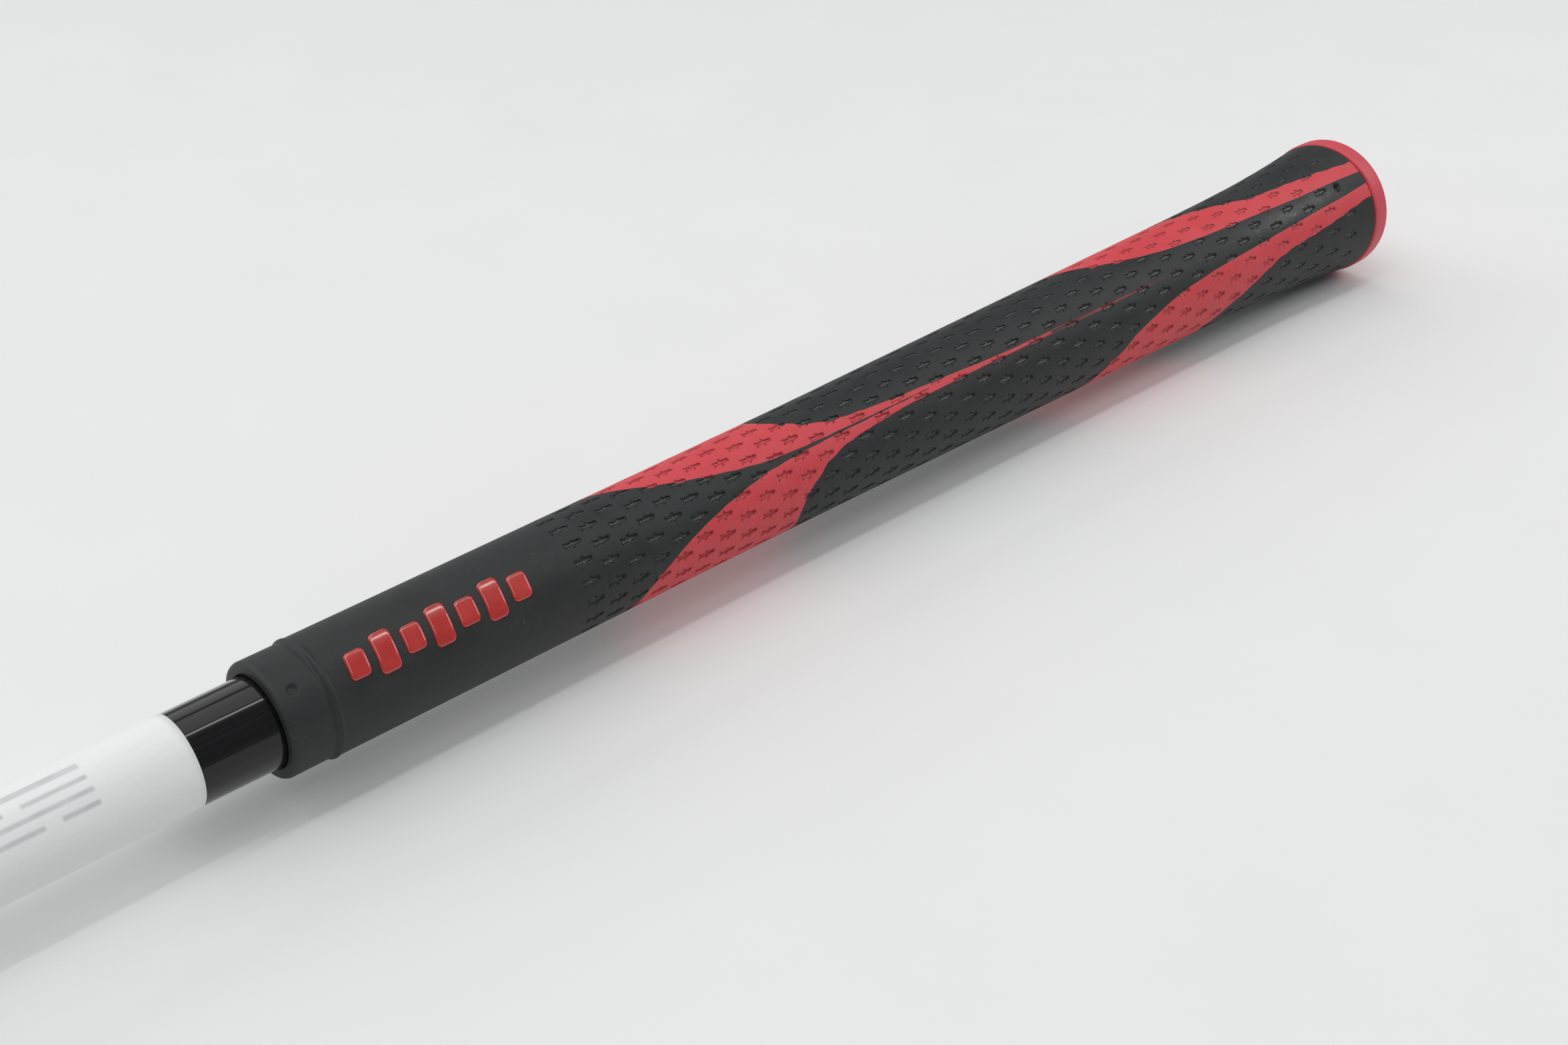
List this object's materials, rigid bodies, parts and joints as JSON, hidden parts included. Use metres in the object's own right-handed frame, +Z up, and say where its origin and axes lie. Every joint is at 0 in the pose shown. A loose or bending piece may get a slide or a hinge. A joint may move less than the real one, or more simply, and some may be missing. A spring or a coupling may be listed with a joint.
{
  "type": "golf driver",
  "caption": "Golf driver with a hollow deep head, adjustable screwed hosel, screwed sole weights, tapered graphite shaft and dimpled two-colour rubber grip.",
  "frame": {"origin": "on the floor plane, at the middle of the footprint of the club as it lies at rest", "axes": "+X along the shaft from head to butt, +Z up from the floor, -Y the side that the toe points to; the club lies on its face edge and its butt end"},
  "size_m": [1.1792, 0.1072, 0.1149],
  "materials": {
    "titanium_body": "satin black painted titanium casting",
    "face_titanium": "brushed dark titanium with fine scored lines",
    "crown_carbon": "gloss clear-coated woven carbon",
    "sole_carbon": "gloss woven carbon",
    "port_metal": "dark machined metal",
    "weight_metal": "turned tungsten alloy",
    "screw_steel": "machined titanium",
    "washer_rubber": "moulded black rubber",
    "anodised": "black anodised aluminium",
    "ring_metal": "clear anodised aluminium",
    "insert_brass": "plain brass",
    "ferrule_plastic": "polished black plastic",
    "shaft_lacquer": "high-gloss black lacquer on graphite",
    "label_paper": "white paper label with faint grey print bars",
    "tape": "double-sided paper tape",
    "grip_rubber": "matt black moulded rubber with red coloured stripes",
    "end_rubber": "satin red moulded rubber",
    "mark_enamel": "glossy red raised enamel"
  },
  "bodies": {
    "head": {"head_body": "titanium_body", "face_insert": "face_titanium", "crown_panel": "crown_carbon", "sole_panel_toe": "sole_carbon", "sole_panel_heel": "sole_carbon", "hosel_tube": "titanium_body", "screw_washer": "washer_rubber", "front_weight_port": "port_metal", "rear_weight_port": "port_metal"},
    "shaft_assembly": {"grip_sleeve": "grip_rubber", "grip_end": "end_rubber", "grip_mark": "mark_enamel", "grip_tape": "tape", "shaft": "shaft_lacquer", "shaft_label": "label_paper", "ferrule": "ferrule_plastic", "hosel_sleeve": "anodised", "thread_insert": "insert_brass", "adjust_ring": "ring_metal"},
    "hosel_screw": {"hosel_screw": "screw_steel"},
    "front_weight": {"front_weight": "weight_metal"},
    "front_weight_screw": {"front_weight_screw": "screw_steel"},
    "rear_weight": {"rear_weight": "weight_metal"},
    "rear_weight_screw": {"rear_weight_screw": "screw_steel"}
  },
  "joints": [
    {"name": "shaft_lift", "type": "slide", "parent": "head", "child": "shaft_assembly", "axis": [1, 0, -0.0017], "range_m": [0, 0.008]},
    {"name": "hosel_screw_turn", "type": "hinge", "parent": "head", "child": "hosel_screw", "pos_m": [-0.54639, 0.03702, 0.01618], "axis": [-1, 0, 0.0017], "range_deg": [0, 3600]},
    {"name": "front_weight_lift", "type": "slide", "parent": "head", "child": "front_weight", "axis": [-0.8511, 0.5089, -0.129], "range_m": [0, 0.0048]},
    {"name": "front_weight_screw_turn", "type": "hinge", "parent": "front_weight", "child": "front_weight_screw", "pos_m": [-0.57296, 0.01428, 0.01829], "axis": [-0.8511, 0.5089, -0.129], "range_deg": [0, 2160]},
    {"name": "rear_weight_lift", "type": "slide", "parent": "head", "child": "rear_weight", "axis": [-0.6968, 0.4304, 0.5737], "range_m": [0, 0.0048]},
    {"name": "rear_weight_screw_turn", "type": "hinge", "parent": "rear_weight", "child": "rear_weight_screw", "pos_m": [-0.56053, 0.00853, 0.10364], "axis": [-0.6968, 0.4304, 0.5737], "range_deg": [0, 2160]}
  ],
  "couplings": [
    {"joint": "hosel_screw_turn", "follows": "shaft_lift", "rad_per_m": 7854},
    {"joint": "front_weight_screw_turn", "follows": "front_weight_lift", "rad_per_m": 7854},
    {"joint": "rear_weight_screw_turn", "follows": "rear_weight_lift", "rad_per_m": 7854}
  ]
}
